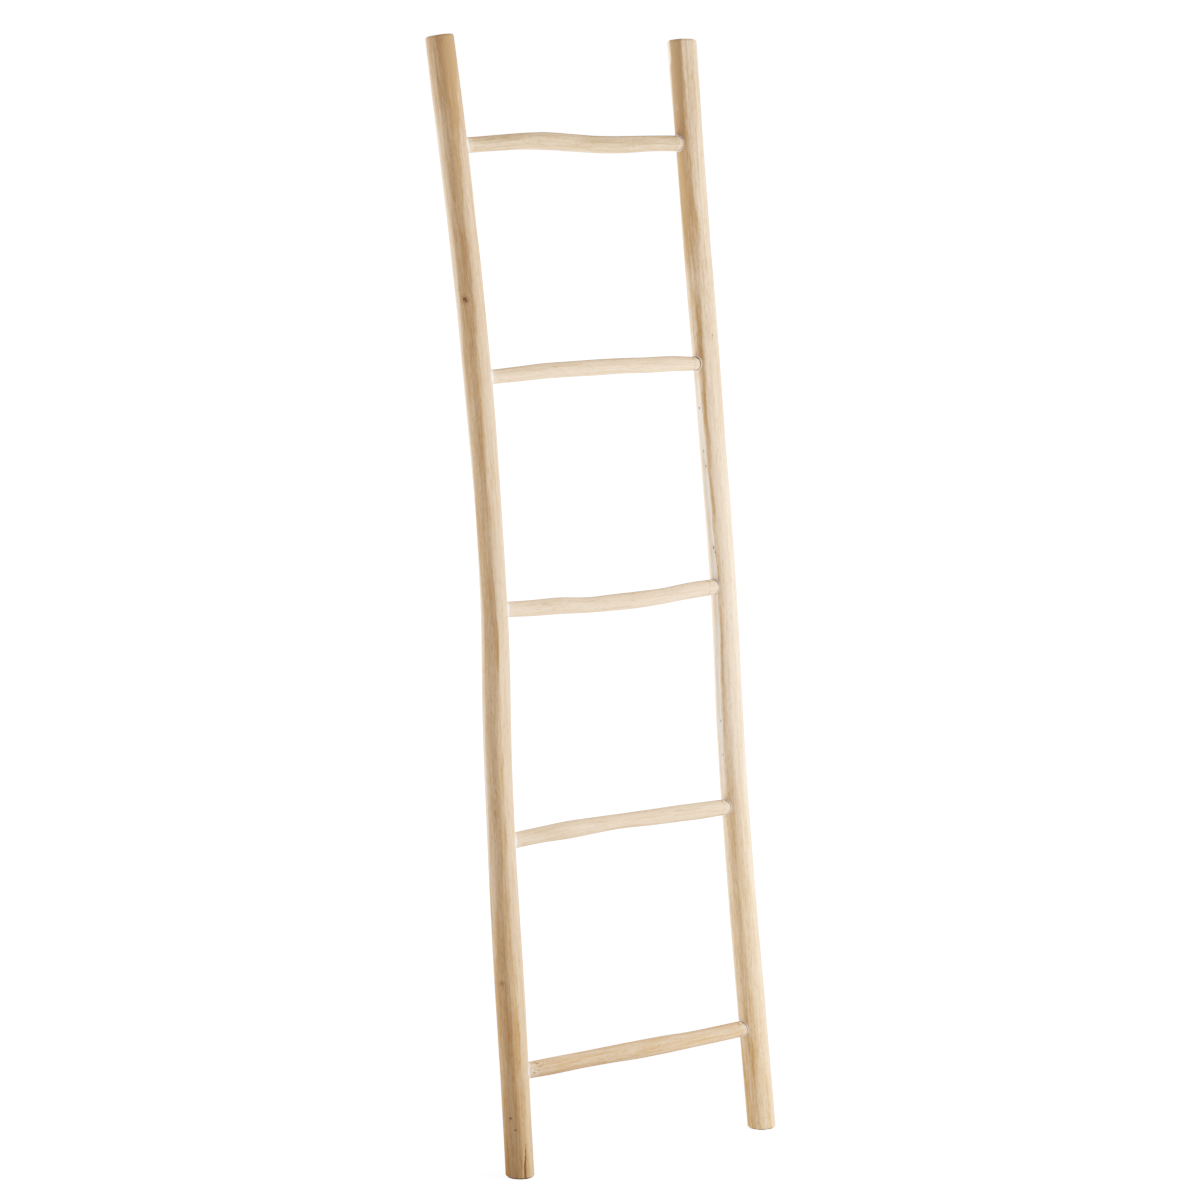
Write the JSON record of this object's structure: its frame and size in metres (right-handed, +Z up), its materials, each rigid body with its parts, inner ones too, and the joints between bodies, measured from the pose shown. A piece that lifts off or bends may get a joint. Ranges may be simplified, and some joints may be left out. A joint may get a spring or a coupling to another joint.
{
  "type": "decorative ladder",
  "caption": "Leaning ladder of peeled branch wood with bowed side poles and round rungs, for towels or blankets.",
  "frame": {"origin": "on the floor, under the centre of the ladder's box as it leans", "axes": "+X from the left pole to the right pole as seen from the front, +Y towards the wall, +Z up"},
  "size_m": [0.5252, 0.2716, 1.7958],
  "materials": {
    "stile_wood": "peeled and sanded branch, matt, no oil",
    "rung_wood": "peeled and sanded branch, matt, no oil",
    "joint_filler": "dried glue and wood filler, rough",
    "pin_plug": "wood filler sanded flush",
    "pin_steel": "bare drawn steel"
  },
  "bodies": {
    "root": {"left_stile": "stile_wood", "right_stile": "stile_wood", "bottom_rung": "rung_wood", "second_rung": "rung_wood", "middle_rung": "rung_wood", "fourth_rung": "rung_wood", "top_rung": "rung_wood", "filler_left_bottom": "joint_filler", "filler_left_second": "joint_filler", "filler_left_middle": "joint_filler", "filler_left_fourth": "joint_filler", "filler_left_top": "joint_filler", "filler_right_bottom": "joint_filler", "filler_right_second": "joint_filler", "filler_right_middle": "joint_filler", "filler_right_fourth": "joint_filler", "filler_right_top": "joint_filler", "left_pins": "pin_steel", "right_pins": "pin_steel", "left_pin_plugs": "pin_plug", "right_pin_plugs": "pin_plug"}
  },
  "joints": []
}
